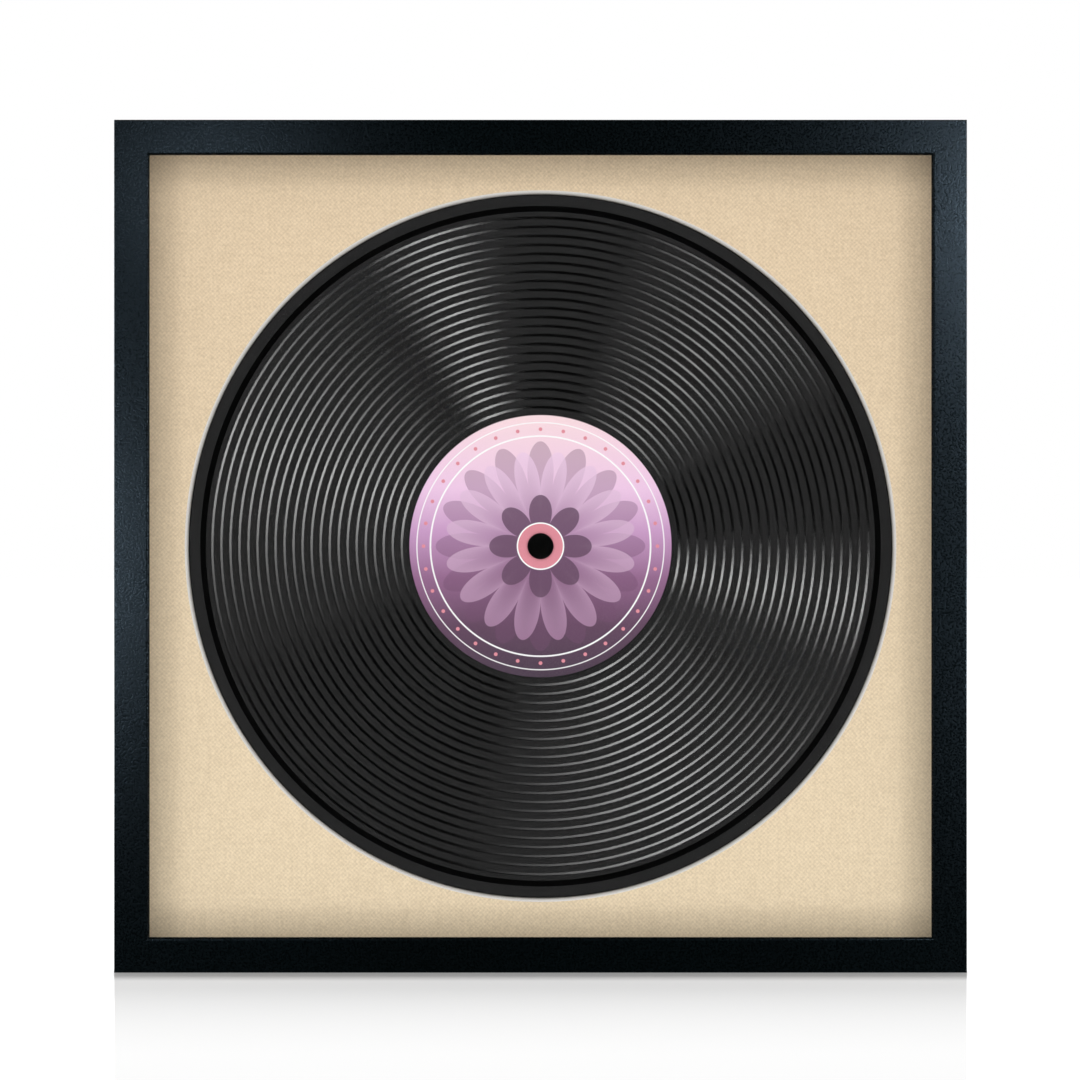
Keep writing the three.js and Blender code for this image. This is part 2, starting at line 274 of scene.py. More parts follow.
def boardFibres(group, given):
    # short fibres lying and standing, as in card and pressed board
    place = objectPlace(group)
    frequency = calc(group, "DIVIDE", 1, given["Length"])
    ways = [noiseAt(group, stretched(group, place, thin), frequency, 4) for thin in ((1, 1, 6), (6, 1, 1))]
    mixed = calc(group, "MAXIMUM", *ways)
    return {"Height": mixed, "Tone": fadeBetween(group, mixed, 0.42, 0.78)}


def edgeMask(group, given):
    # where an edge is, for rubbed wear and for the film's painted edge highlight: the surface turns away
    # from its own flat normal there
    rounded = addNode(group, "ShaderNodeBevel", {"Radius": given["Reach"]}, samples=4)["Normal"]
    normal = addNode(group, "ShaderNodeNewGeometry", {})["Normal"]
    both = {0: rounded, 1: normal}
    alike = addNode(group, "ShaderNodeVectorMath", both, operation="DOT_PRODUCT")["Value"]
    edge = fadeBetween(group, calc(group, "SUBTRACT", 1, alike), 0.01, 0.14)
    patchy = noiseAt(group, objectPlace(group), calc(group, "DIVIDE", 1, given["Breakup"]), 3)
    return {"Mask": calc(group, "MULTIPLY", edge, fadeBetween(group, patchy, 0.35, 0.65))}


def discPlace(group, given):
    # distance from the record's axis, the angle round it, and the height over it
    x, _, z = apart(group, given["Place"])
    up = calc(group, "SUBTRACT", z, given["Axis height"])
    return {"Radius": distance(group, x, up), "Turn": calc(group, "ARCTAN2", up, x), "Height": up}


def roundBand(group, given):
    # one between two radii, nothing elsewhere
    inside = calc(group, "SUBTRACT", given["Radius"], given["Inner"])
    outside = calc(group, "SUBTRACT", given["Outer"], given["Radius"])
    nearest = calc(group, "MINIMUM", inside, outside)
    return {"Mask": softEdge(group, nearest, given["Softness"])}


effects = {
    "grain": makeGroup("pebbledGrain", pebbledGrain, Size=1 * mm, Roughening=0.5),
    "clouds": makeGroup("softClouds", softClouds, Size=60 * mm, Low=0.0, High=1.0),
    "fibres": makeGroup("boardFibres", boardFibres, Length=3 * mm),
    "edgeShare": makeGroup("edgeMask", edgeMask, Reach=0.5 * mm, Breakup=4 * mm),
    "disc": makeGroup("discPlace", discPlace, Place=None, Axis_height=0.0),
    "band": makeGroup("roundBand", roundBand, Radius=0.0, Inner=0.0, Outer=1.0, Softness=0.1 * mm),
}
print("shared effects built:", ", ".join(effects))


# Finishes that several pieces share
def clouded(tree, size, low, high):
    return placed(tree, effects["clouds"], Size=size, Low=low, High=high)["Value"]


def edgeTinted(tree, colour, tone, strength, reach, breakup):
    # the colour with tinted edges, and where those are; the tint is rubbed wear, and on the film also a
    # painted edge highlight
    edgeShare = placed(tree, effects["edgeShare"], Reach=reach, Breakup=breakup)["Mask"]
    return blendColours(tree, calc(tree, "MULTIPLY", edgeShare, strength), colour, tone), edgeShare


def grainyFinish(name, values):
    # film, plastic or rubber: grain, with slow clouds and tinted edges where the values give them; on the
    # film the edge tint is partly a painted highlight
    material, tree, shader = startMaterial(name, Specular_IOR_Level=values["specular"])
    size, finer, relief = values["grain"]
    grain = placed(tree, effects["grain"], Size=size, Roughening=finer)
    share = grain["Tone"]
    if "clouds" in values:
        share = calc(tree, "MULTIPLY", share, clouded(tree, *values["clouds"]), clamp=True)
    colour = blendColours(tree, share, *values["tones"])
    rough = between(tree, grain["Tone"], *values["roughness"])
    if "edgeTone" in values:
        colour, edgeShare = edgeTinted(tree, colour, *values["edgeTone"])
        rough = calc(tree, "MULTIPLY_ADD", edgeShare, values["wornRoughness"], rough)
    dress(shader, colour, rough, grain["Height"], relief)
    return material


allBoards = {
    "specular": 0.2,
    "clouds": (50 * mm, 0.25, 0.75),
    "fibreShare": 0.6,  # the fibres mix the two tones this much, and the clouds the rest
    "cloudShare": 0.4,
    "roughness": (0.92, 0.8),
}


def paperBoard(name, tones, length, relief):
    board, tree, shader = startMaterial(name, Specular_IOR_Level=allBoards["specular"])
    fibres = placed(tree, effects["fibres"], Length=length)
    patchy = calc(tree, "MULTIPLY", clouded(tree, *allBoards["clouds"]), allBoards["cloudShare"])
    share = calc(tree, "MULTIPLY_ADD", fibres["Tone"], allBoards["fibreShare"], patchy)
    rough = between(tree, fibres["Tone"], *allBoards["roughness"])
    dress(shader, blendColours(tree, share, *tones), rough, fibres["Height"], relief)
    return board


# Mesh helpers. The four sides of the frame are quarter turns of the lower one round the record's axis.
frameSides = ("bottom", "left", "top", "right")
half = cadHigh.x
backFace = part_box("rail_bottom")[1].y


def carried(turns):
    return Matrix.Translation(middle) @ Matrix.Rotation(turns * pi / 2, 4, "Y")


def sidePlace(turns, x, y, height, spin=0):
    # a place on one side, x along it and height over its outer edge
    place = carried(turns) @ Matrix.Translation((x, y, height - half))
    return place @ Matrix.Rotation(radians(spin), 4, "Y")


def circleRing(radius, depth, steps, x=0, z=0):
    turns = [2 * pi * i / steps for i in range(steps)]
    return [(x + radius * cos(t), depth, z + radius * sin(t)) for t in turns]


def squareRing(halfSide, depth, steps):
    # the same directions as circleRing, out to a square; steps is a multiple of eight
    ring = []
    for i in range(steps):
        t = 2 * pi * i / steps
        reach = halfSide / max(abs(cos(t)), abs(sin(t)))
        ring.append((reach * cos(t), depth, middle.z + reach * sin(t)))
    return ring


def arc(x, y, radius, start, end, steps=8):
    # points round a centre, from one angle in degrees to another
    points = []
    for i in range(steps + 1):
        angle = radians(start + (end - start) * i / steps)
        points.append((x + radius * cos(angle), y + radius * sin(angle)))
    return points


def showing(name, data, place=None):
    made = bpy.data.objects.new(name, data)
    scene.collection.objects.link(made)
    if place is not None:
        made.matrix_world = place
    return made


def lofted(name, rings, loop=True, finishes=None):
    # a closed skin over rings of equal counts; a ring of one point is a tip
    mesh = bmesh.new()
    rows = [[mesh.verts.new(point) for point in ring] for ring in rings]
    count = max(len(row) for row in rows)
    pairs = list(zip(rows, rows[1:] + rows[:1])) if loop else list(zip(rows, rows[1:]))
    for index, (near, far) in enumerate(pairs):
        for i in range(count):
            j = (i + 1) % count
            corners = [near[i % len(near)], near[j % len(near)], far[j % len(far)], far[i % len(far)]]
            face = mesh.faces.new(list(dict.fromkeys(corners)))
            face.material_index = finishes[index] if finishes else 0
    if not loop:
        for row in (rows[0], rows[-1]):
            if len(row) > 2:
                mesh.faces.new(row)
    bmesh.ops.recalc_face_normals(mesh, faces=mesh.faces)
    data = bpy.data.meshes.new(name)
    mesh.to_mesh(data)
    mesh.free()
    return showing(name, data)


def bar(name, section, reach):
    # a section of depths and heights, drawn out to both sides along X
    return lofted(name, [[(x, y, z) for y, z in section] for x in (-reach, reach)], loop=False)


def slab(name, plan, near, far):
    # an outline of X and Z, drawn out along Y
    return lofted(name, [[(x, y, z) for x, z in plan] for y in (near, far)], loop=False)


def turned(name, outline, steps, centre=(0, 0, 0), finishes=None):
    # an outline of radii and depths, turned round an axis along Y
    x, y, z = centre
    rings = [circleRing(r, y + d, steps, x, z) if r > 0 else [(x, y + d, z)] for r, d in outline]
    return lofted(name, rings, loop=outline[0][0] > 0, finishes=finishes)


def applied(made):
    # the modifiers become part of the mesh
    bpy.context.view_layer.update()
    graph = bpy.context.evaluated_depsgraph_get()
    made.data = bpy.data.meshes.new_from_object(made.evaluated_get(graph))
    made.modifiers.clear()
    return made


def cutWith(made, cutters, operation="DIFFERENCE"):
    for cutter in cutters:
        modifier = made.modifiers.new("cut", "BOOLEAN")
        modifier.operation = operation
        modifier.solver = "EXACT"
        modifier.object = cutter
    applied(made)
    for cutter in cutters:
        bpy.data.objects.remove(cutter)
    return made


def bevelled(made, width, steps=3):
    modifier = made.modifiers.new("softened edges", "BEVEL")
    modifier.width = width
    modifier.segments = steps
    modifier.limit_method = "ANGLE"
    modifier.angle_limit = radians(30)
    return made


def smoothed(made, angle=25):
    # round where it is round, flat where it is flat
    made.data.shade_smooth()
    made.data.set_sharp_from_angle(angle=radians(angle))
    weighted = made.modifiers.new("flat faces stay flat", "WEIGHTED_NORMAL")
    weighted.keep_sharp = True
    return applied(made)


def takenMesh(made):
    # the mesh alone, for several pieces to share
    data = made.data
    bpy.data.objects.remove(made)
    return data


def recoat(node, material, bevel, steps):
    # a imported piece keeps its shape, with softened edges and another finish
    bevelled(frame["nodes"][node], bevel, steps).data.materials[0] = material


def finish(made, materials, node):
    # materials on; the piece then stands for its node and rides on the same body
    if not made.data.materials:
        for material in materials:
            made.data.materials.append(material)
    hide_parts(node)
    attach(made, body_of(frame["nodes"][node])[0])


# Mouldings
mouldings = {
    "face": 15 * mm,  # seen from the front
    "wall": 11.5 * mm,
    "lip": 4.5 * mm,
    "outerRound": 0.45 * mm,
    "sightRound": 1.3 * mm,
    "undercut": 0.3 * mm,  # the lip's back stands this much further out than its sight edge
    "backRound": 0.5 * mm,
    "film": {
        "specular": 0.07,
        "grain": (0.9 * mm, 0.45, 0.09 * mm),  # size, share of the finer grain, and relief
        "clouds": (45 * mm, 0.6, 1.2),  # size, least and most
        "tones": ((0, 2, 2), (0, 4, 5)),
        "roughness": (0.215, 0.395),
        # its lighter edges are rubbed wear and a painted highlight along the edges
        "edgeTone": ((24, 29, 34), 0.15, 0.45 * mm, 5 * mm),  # tone, strength, reach and size of the patches
        "wornRoughness": -0.08,
    },
}
screwPlaces = {
    "buttonFromCorner": 121 * mm,
    "hangerX": 175 * mm,
    "hangerZ": 286 * mm,  # axis of the ring's bar
    "hangerDrop": 13 * mm,
    "holeRadius": 1.8 * mm,
    "holeDepth": 10 * mm,
}
nails = {
    "inset": 3 * mm,
    "thick": 0.7 * mm,
    "leg": 6 * mm,
    "depth": 7 * mm,
    "slotGap": 0.3 * mm,
    "bevel": 0.1 * mm,
}


def mouldingOutline(values):
    # points of depth behind the front, and height over the outer edge
    depth = backFace - cadLow.y
    outer, sight, back = values["outerRound"], values["sightRound"], values["backRound"]
    return [
        *arc(outer, outer, outer, 270, 180),
        *arc(sight, values["face"] - sight, sight, 180, 90),
        (values["lip"], values["face"] - values["undercut"]),
        (values["lip"], values["wall"]),
        (depth, values["wall"]),
        *arc(depth - back, back, back, 0, -90),
    ]


def nailSlot(end):
    gap = nails["slotGap"]
    near = nails["inset"] - gap
    bend = nails["inset"] + nails["thick"] + gap
    far = nails["inset"] + nails["leg"] + gap
    corners = [(near, near), (far, near), (far, bend), (bend, bend), (bend, far), (near, far)]
    plan = [(end * (half - x), z - half) for x, z in corners]
    return slab("slot", plan, backFace - nails["depth"] - gap, backFace + 1 * mm)


def screwHole(x, z, near, far, steps):
    rings = [circleRing(screwPlaces["holeRadius"], y, steps, x, z) for y in (near, far)]
    return lofted("hole", rings, loop=False)


def makeMouldings(values):
    film = grainyFinish("satin black film", values["film"])
    outline = mouldingOutline(values)
    buttonX = half - screwPlaces["buttonFromCorner"]
    hangerHeight = half - screwPlaces["hangerX"]
    hangerAlong = screwPlaces["hangerZ"] - screwPlaces["hangerDrop"] - middle.z
    holeEnd = backFace - screwPlaces["holeDepth"]
    for turns, side in enumerate(frameSides):
        ends = []
        for end in (-1, 1):
            ends.append([(end * (half - z), cadLow.y + depth, z - half) for depth, z in outline])
        rail = lofted("moulding_" + side, ends, loop=False)
        holes = [(-buttonX, values["wall"] / 2), (buttonX, values["wall"] / 2)]
        if turns % 2:
            holes.append((hangerAlong * (1 if side == "right" else -1), hangerHeight))
        cutters = [nailSlot(-1), nailSlot(1)]
        for x, z in holes:
            cutters.append(screwHole(x, z - half, holeEnd, backFace + 1 * mm, 24))
        cutWith(rail, cutters)
        rail.data.transform(carried(turns))
        finish(smoothed(rail), [film], "rail_" + side)


makeMouldings(mouldings)
print("mouldings made")


# Glazing: clear, with little reflection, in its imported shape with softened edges
glazing = {
    "tone": (10, 12, 12),
    "ior": 1.49,
    "reflection": 0.3,
    "smears": (25 * mm, 0.02, 0.09),  # size, and least and most roughness
    "bevel": 0.2 * mm,
}


def clearGlazing(values):
    tone, ior = paint(*values["tone"]), values["ior"]
    glass, tree, shader = startMaterial("clear glazing", IOR=ior, Base_Color=tone)
    feed(tree, shader.inputs["Roughness"], clouded(tree, *values["smears"]))
    clear = addNode(tree, "ShaderNodeBsdfTransparent", {})[0]
    fresnel = addNode(tree, "ShaderNodeFresnel", {"IOR": ior})[0]
    share = calc(tree, "MULTIPLY", fresnel, values["reflection"])
    mix = addNode(tree, "ShaderNodeMixShader", {0: share, 1: clear, 2: shader.outputs[0]})[0]
    feed(tree, tree.nodes["Material Output"].inputs["Surface"], mix)
    return glass


recoat("glazing", clearGlazing(glazing), glazing["bevel"], 2)
print("glazing set")


# Spacers between the glazing and the mat
spacers = {
    "outer": 170 * mm,  # from the record's axis
    "thick": 2.2 * mm,
    "chamfer": 0.25 * mm,
    "grooveWidth": 1.2 * mm,
    "grooveDepth": 0.3 * mm,
    "cornerGap": 0.1 * mm,
    "finish": {
        "specular": 0.1,
        "grain": (0.9 * mm, 0.8, 0.08 * mm),
        "clouds": (30 * mm, 0.2, 0.8),
        "tones": ((17, 17, 16), (32, 31, 29)),
        "roughness": (0.75, 0.9),
    },
}


def makeSpacers(values):
    # each strip is a chamfered section with a groove along its inner face
    strip = grainyFinish("black strip", values["finish"])
    thick, chamfer, depth = values["thick"], values["chamfer"], values["grooveDepth"]
    for turns, side in enumerate(frameSides):
        low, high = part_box("spacer_" + side)
        groove = (low.y + high.y) / 2
        wide = values["grooveWidth"] / 2
        outline = [
            (low.y + chamfer, 0),
            (low.y, chamfer),
            (low.y, thick - chamfer),
            (low.y + chamfer, thick),
            (groove - wide, thick),
            (groove, thick - depth),
            (groove + wide, thick),
            (high.y - chamfer, thick),
            (high.y, thick - chamfer),
            (high.y, chamfer),
            (high.y - chamfer, 0),
        ]
        reach = values["outer"] - (thick + values["cornerGap"] if turns % 2 else 0)
        section = [(y, height - values["outer"]) for y, height in outline]
        made = bar("spacer_strip_" + side, section, reach)
        made.data.transform(carried(turns))
        finish(smoothed(made), [strip], "spacer_" + side)


makeSpacers(spacers)
print("spacers set")


# Mat: a woven face on a white board, with one slanted cut through both
mat = {
    # lower down the linen is lighter, a painted gradient of light, and yellower
    "linenTop": ((240, 218, 186), (210, 187, 156)),  # light and dark threads, and the same lower down
    "linenLow": ((246, 227, 195), (216, 196, 165)),
    "thread": 0.95 * mm,  # spacing of the weave
    "slubs": 0.15,
    "fuzz": 0.42,
    "linenClouds": (70 * mm, 0.35, 0.65),
    "linenCloudiness": 0.12,
    "linenRoughness": (0.95, 0.85),  # of its hollows and its threads
    "linenRelief": 0.05 * mm,
    "boardTones": ((248, 244, 238), (255, 251, 245)),
    "boardFibres": (1.6 * mm, 0.03 * mm),  # their length and relief
    "windowBack": 151.35 * mm,  # radius at the back; the cut slants as far out as it runs forwards
    "windowSides": 256,
    "frontEdge": 0.15 * mm,
}


def linenWeave(group, given):
    # threads over and under each other along X and Z, with fuzz, and thicker ones here and there
    place = objectPlace(group)
    parts = apart(group, place)
    frequency = calc(group, "DIVIDE", pi, given["Spacing"])
    waves = []
    for along in ("X", "Z"):
        wobble = noiseAt(group, place, 260)  # no thread runs quite straight
        shifted = calc(group, "MULTIPLY_ADD", wobble, 1.2 * mm, parts[along])
        waves.append(calc(group, "SINE", calc(group, "MULTIPLY", shifted, frequency)))
    weave = calc(group, "MULTIPLY", *waves)
    fuzz = calc(group, "SUBTRACT", noiseAt(group, place, 950), 0.5)
    lengthways = [noiseAt(group, stretched(group, place, way), 1) for way in ((70, 1, 650), (650, 1, 70))]
    slubs = calc(group, "SUBTRACT", calc(group, "ADD", *lengthways), 1)
    threads = calc(group, "MULTIPLY_ADD", slubs, given["Slubs"], 0.5)
    rough = calc(group, "MULTIPLY_ADD", fuzz, given["Fuzz"], threads)
    height = calc(group, "MULTIPLY_ADD", weave, 0.08, rough)
    return {"Height": height, "Tone": fadeBetween(group, height, 0.25, 0.75)}


def tanLinen(values):
    linen, tree, shader = startMaterial("tan linen", Specular_IOR_Level=0.1, Sheen_Weight=0.05)
    threads = makeGroup("linenWeave", linenWeave, Spacing=0.6 * mm, Slubs=0.2, Fuzz=0.8)
    weave = placed(tree, threads, Spacing=values["thread"], Slubs=values["slubs"], Fuzz=values["fuzz"])
    low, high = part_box("mat_facing")
    # the rise from bottom to top carries painted light: lighter and yellower at the bottom
    rise = fadeBetween(tree, apart(tree, objectPlace(tree))["Z"], low.z, high.z)
    lights, darks = zip(values["linenLow"], values["linenTop"])
    light, dark = blendColours(tree, rise, *lights), blendColours(tree, rise, *darks)
    patchy = calc(tree, "SUBTRACT", clouded(tree, *values["linenClouds"]), 0.5)
    faded = calc(tree, "MULTIPLY_ADD", patchy, values["linenCloudiness"], weave["Tone"])
    rough = between(tree, weave["Tone"], *values["linenRoughness"])
    dress(shader, blendColours(tree, faded, dark, light), rough, weave["Height"], values["linenRelief"])
    return linen


def makeMat(values):
    linen = tanLinen(values)
    core = paperBoard("white board", values["boardTones"], *values["boardFibres"])
    steps, edge = values["windowSides"], values["frontEdge"]
    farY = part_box("mat_core")[1].y
    layers = (("mat_facing", "tan_linen", [linen, core]), ("mat_core", "white_board", [core]))
    for node, slot, materials in layers:
        low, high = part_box(node)
        nearRadius, farRadius = [values["windowBack"] + farY - y for y in (low.y, high.y)]
        rings = [
            circleRing(nearRadius, low.y, steps, 0, middle.z),
            squareRing(high.x - edge, low.y, steps),
            squareRing(high.x, low.y + edge, steps),
            squareRing(high.x, high.y, steps),
            circleRing(farRadius, high.y, steps, 0, middle.z),
        ]
        finishes = [0, 0, 0, 0, len(materials) - 1]
        board = lofted(node.replace("mat_", "mat_board_"), rings, finishes=finishes)
        finish(smoothed(board), materials, node)


makeMat(mat)
print("mat made")


# Record
disc = {
    "radius": 151 * mm,
    "thick": 1.9 * mm,
    "edgeRound": 0.5 * mm,
    "spindle": 3.62 * mm,
    "labelSeat": 56.8 * mm,
    "seatDepth": 0.3 * mm,
    "lines": 22,
    "lineWidth": 1.25 * mm,
    "lineDepth": 0.42 * mm,
    "firstLine": 59.7 * mm,
    "bandInner": 143.6 * mm,
    "bandOuter": 146.1 * mm,
    "bandDepth": 0.35 * mm,
    "lastLineGap": 2.6 * mm,
    "sides": 512,
    "flat": ((33, 33, 33), (37, 37, 37), (0.22, 0.28)),  # dark and light tone, and the roughness
    # the groove lines are a near-black copy of the vinyl: painted shade in the grooves
    "line": ((1, 1, 1), (3, 3, 3), (0.12, 0.16)),
    # the lead-in band and the front of the rim are a dead black copy of the vinyl: painted shade
    "band": ((0, 0, 0), (5, 5, 5)),
    "clouds": (40 * mm, 0.3, 0.7),
    "marks": 1.3 * mm,  # spacing of the turned marks
    "bandMarks": 0.4 * mm,
    "relief": 0.004 * mm,
}


def turnedMarks(group, given):
    # very fine turned marks, each a little glossier or duller than the next
    place = placed(group, effects["disc"], Place=objectPlace(group), Axis_height=middle.z)
    steps = calc(group, "DIVIDE", place["Radius"], given["Spacing"])
    sine, cosine = [calc(group, wave, place["Turn"]) for wave in ("SINE", "COSINE")]
    joined = addNode(group, "ShaderNodeCombineXYZ", {0: steps, 1: sine, 2: cosine})[0]
    return {"Value": noiseAt(group, joined, 1, 3)}


def vinyl(name, values, marks, dark, light, roughness):
    material, tree, shader = startMaterial(name, Specular_IOR_Level=1.0, IOR=1.5)
    streaks = placed(tree, marks, Spacing=values["marks"])["Value"]
    both = calc(tree, "ADD", streaks, clouded(tree, *values["clouds"]))
    share = calc(tree, "MULTIPLY", both, 0.5)
    rough = between(tree, share, *roughness)
    dress(shader, blendColours(tree, share, dark, light), rough, streaks, values["relief"])
    return material


def paintedShadeVinyl(values, marks):
    # dead black, with almost no gloss: painted shade on the band and the rim's front
    material, tree, shader = startMaterial("vinyl band and rim in painted shade", Specular_IOR_Level=0.05, Roughness=0.5)
    streaks = placed(tree, marks, Spacing=values["bandMarks"])
    feed(tree, shader.inputs["Base Color"], blendColours(tree, streaks["Value"], *values["band"]))
    return material


def recordOutline(values):
    # points of radius and depth; the second list says which finish follows each point
    flat, line, band = 0, 1, 2
    first, last = values["firstLine"], values["bandInner"] - values["lastLineGap"]
    pitch = (last - first) / (values["lines"] - 1)
    hole, seat, sunk = values["spindle"], values["labelSeat"], values["seatDepth"]
    thick, edge = values["thick"], values["edgeRound"]
    marked = [((hole, sunk), flat), ((seat, sunk), flat), ((seat, 0), flat)]
    for i in range(values["lines"]):
        inner = first + i * pitch - values["lineWidth"] / 2
        outer = inner + values["lineWidth"]
        marked += [((inner, 0), line), ((outer, values["lineDepth"]), line), ((outer, 0), flat)]
    marked += [
        ((values["bandInner"], 0), band),
        ((values["bandInner"], values["bandDepth"]), band),
        ((values["bandOuter"], values["bandDepth"]), band),
        ((values["bandOuter"], 0), flat),
    ]
    rim = values["radius"] - edge
    # the rim's front takes the band's dead black: a painted shadow line round the record
    marked += [(point, band) for point in arc(rim, edge, edge, -90, 0, 5)]
    marked += [(point, flat) for point in arc(rim, thick - edge, edge, 0, 90, 5)[1:]]
    marked += [((seat, thick), flat), ((seat, thick - sunk), flat), ((hole, thick - sunk), flat)]
    return [point for point, _ in marked], [which for _, which in marked]


def makeRecord(values):
    marks = makeGroup("turnedMarks", turnedMarks, Spacing=1.2 * mm)
    flat = vinyl("pressed vinyl", values, marks, *values["flat"])
    line = vinyl("groove line", values, marks, *values["line"])
    outline, finishes = recordOutline(values)
    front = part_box("record")[0].y
    made = turned("pressed_record", outline, values["sides"], (0, front, middle.z), finishes)
    finish(smoothed(made, 12), [flat, line, paintedShadeVinyl(values, marks)], "record")


makeRecord(disc)
print("record made")


# Labels
label = {
    "radius": 56.3 * mm,
    "hole": 3.72 * mm,
    "edge": 0.06 * mm,
    "sides": 192,
    "rise": (
        # height as a share of the label, and the colour there
        (0.0, (72, 56, 73)),
        (0.2, (96, 66, 91)),
        (0.38, (146, 101, 139)),
        (0.56, (201, 155, 198)),
        (0.72, (238, 200, 230)),
        (1.0, (248, 219, 223)),
    ),
    "petalRings": (
        # count, shift, inner and outer radius, strength at the middle and the tips, lower and upper colour
        (16, 0, 26 * mm, 45 * mm, 0.42, 0.42, (112, 74, 106), (112, 74, 106)),
        (16, pi / 2, 24 * mm, 41 * mm, 0.15, 0.75, (150, 104, 142), (246, 214, 240)),
        (8, 0, 10 * mm, 22 * mm, 0.85, 0.85, (96, 66, 92), (96, 66, 92)),
    ),
    "petalFade": (0.35, 1),  # shares of a petal's length between which its strength changes
    "dots": {"Count": 32, "Ring": 50.2 * mm, "Size": 0.8 * mm},
    "dotColour": (224, 142, 155),
    "roundLines": (
        # inner and outer radius, strength and colour
        (46.9 * mm, 47.6 * mm, 0.9, (255, 255, 255)),
        (52.8 * mm, 53.3 * mm, 0.8, (255, 255, 255)),
        (0, 10 * mm, 1.0, (222, 140, 153)),
        (9.6 * mm, 10.2 * mm, 1.0, (255, 255, 255)),
    ),
    "fibres": (0.8 * mm, 0.01 * mm, 0.05, (255, 250, 245)),  # length, relief, strength and colour
    "rim": (0.35 * mm, 0.3, (60, 45, 58)),  # width, strength and colour of the rubbed edge
    "roughness": (0.55, 0.65),
}


def petalRing(group, given):
    # a ring of petals between two radii; along runs from nothing at the axis to one at the petal's edge
    halfCount = calc(group, "MULTIPLY", given["Count"], 0.5)
    step = calc(group, "MULTIPLY_ADD", given["Turn"], halfCount, given["Shift"])
    lobe = calc(group, "POWER", calc(group, "ABSOLUTE", calc(group, "COSINE", step)), 0.62)
    length = calc(group, "SUBTRACT", given["Outer"], given["Inner"])
    reach = calc(group, "MULTIPLY_ADD", length, lobe, given["Inner"])
    inside = calc(group, "SUBTRACT", reach, given["Radius"])
    along = calc(group, "DIVIDE", given["Radius"], reach, clamp=True)
    return {"Mask": softEdge(group, inside, given["Softness"]), "Along": along}


def dotRing(group, given):
    # round dots evenly round a ring
    halfStep = calc(group, "DIVIDE", pi, given["Count"])
    across = calc(group, "MULTIPLY", calc(group, "PINGPONG", given["Turn"], halfStep), given["Ring"])
    outward = calc(group, "SUBTRACT", given["Radius"], given["Ring"])
    inside = calc(group, "SUBTRACT", given["Size"], distance(group, across, outward))
    return {"Mask": softEdge(group, inside, given["Softness"])}


def labelPaper(name, values, petals, dots, plain):
    paper, tree, shader = startMaterial(name, Specular_IOR_Level=0.2)
    place = placed(tree, effects["disc"], Place=objectPlace(tree), Axis_height=middle.z)
    spot = {"Radius": place["Radius"], "Turn": place["Turn"]}
    up = calc(tree, "MULTIPLY_ADD", place["Height"], 0.5 / values["radius"], 0.5, clamp=True)
    ramp = tree.nodes.new("ShaderNodeValToRGB")
    feed(tree, ramp.inputs["Fac"], up)
    stops = ramp.color_ramp.elements
    for index, (share, tone) in enumerate(values["rise"]):
        stop = stops[index] if index < 2 else stops.new(share)
        stop.position, stop.color = share, paint(*tone)
    layers = []
    if not plain:
        for count, shift, inner, outer, atMiddle, atTips, lower, upper in values["petalRings"]:
            ring = placed(tree, petals, Count=count, Shift=shift, Inner=inner, Outer=outer, **spot)
            veined = fadeBetween(tree, ring["Along"], *values["petalFade"], atMiddle, atTips)
            share = calc(tree, "MULTIPLY", ring["Mask"], veined)
            layers.append((share, blendColours(tree, up, lower, upper)))
        layers.append((placed(tree, dots, **values["dots"], **spot)["Mask"], values["dotColour"]))
    for inner, outer, strength, tone in values["roundLines"]:
        band = placed(tree, effects["band"], Radius=place["Radius"], Inner=inner, Outer=outer)
        layers.append((calc(tree, "MULTIPLY", band["Mask"], strength), tone))
    length, relief, strength, tone = values["fibres"]
    fibres = placed(tree, effects["fibres"], Length=length)
    layers.append((calc(tree, "MULTIPLY", fibres["Tone"], strength), tone))
    width, strength, tone = values["rim"]
    edge = values["radius"]
    layers.append((fadeBetween(tree, place["Radius"], edge - width, edge, 0, strength), tone))
    colour = ramp.outputs["Color"]
    for share, tone in layers:
        colour = blendColours(tree, share, colour, tone)
    rough = between(tree, fibres["Tone"], *values["roughness"])
    dress(shader, colour, rough, fibres["Height"], relief)
    return paper


def makeLabels(values):
    spot = {"Radius": 0.0, "Turn": 0.0}
    reach = {"Inner": 0.0, "Outer": 1.0, "Softness": 0.2 * mm}
    petals = makeGroup("petalRing", petalRing, **spot, Count=12.0, Shift=0.0, **reach)
    dots = makeGroup("dotRing", dotRing, **spot, Count=32.0, Ring=1.0, Size=1 * mm, Softness=mm / 6)
    hole, radius, edge = values["hole"], values["radius"], values["edge"]
    for node, plain in (("label_front", False), ("label_back", True)):
        low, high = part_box(node)
        thick = high.y - low.y
        outline = [
            (hole, 0),
            (radius - edge, 0),
            (radius, edge),
            (radius, thick - edge),
            (radius - edge, thick),
            (hole, thick),
        ]
        made = turned("paper_" + node, outline, values["sides"], (0, low.y, middle.z))
        paper = labelPaper(node.replace("_", " ") + " paper", values, petals, dots, plain)
        finish(smoothed(made), [paper], node)


makeLabels(label)
print("labels made")


# Hub: a cap on a shaft through the record, and the nut behind the board
hub = {
    "capRadius": 5.6 * mm,
    "capThick": 1.2 * mm,
    "capRound": 0.6 * mm,
    "shaft": 3.5 * mm,
    "shaftChamfer": 0.3 * mm,
    "nutRadius": 10 * mm,
    "nutPlay": 0.1 * mm,
    "sides": 64,
    "plastic": {
        "specular": 0.1,
        "grain": (0.5 * mm, 0.6, 0.02 * mm),
        "tones": ((1, 1, 1), (6, 6, 6)),
        "roughness": (0.4, 0.52),
        "edgeTone": ((40, 40, 40), 0.2, 0.25 * mm, 2 * mm),
        "wornRoughness": 0,
    },
}


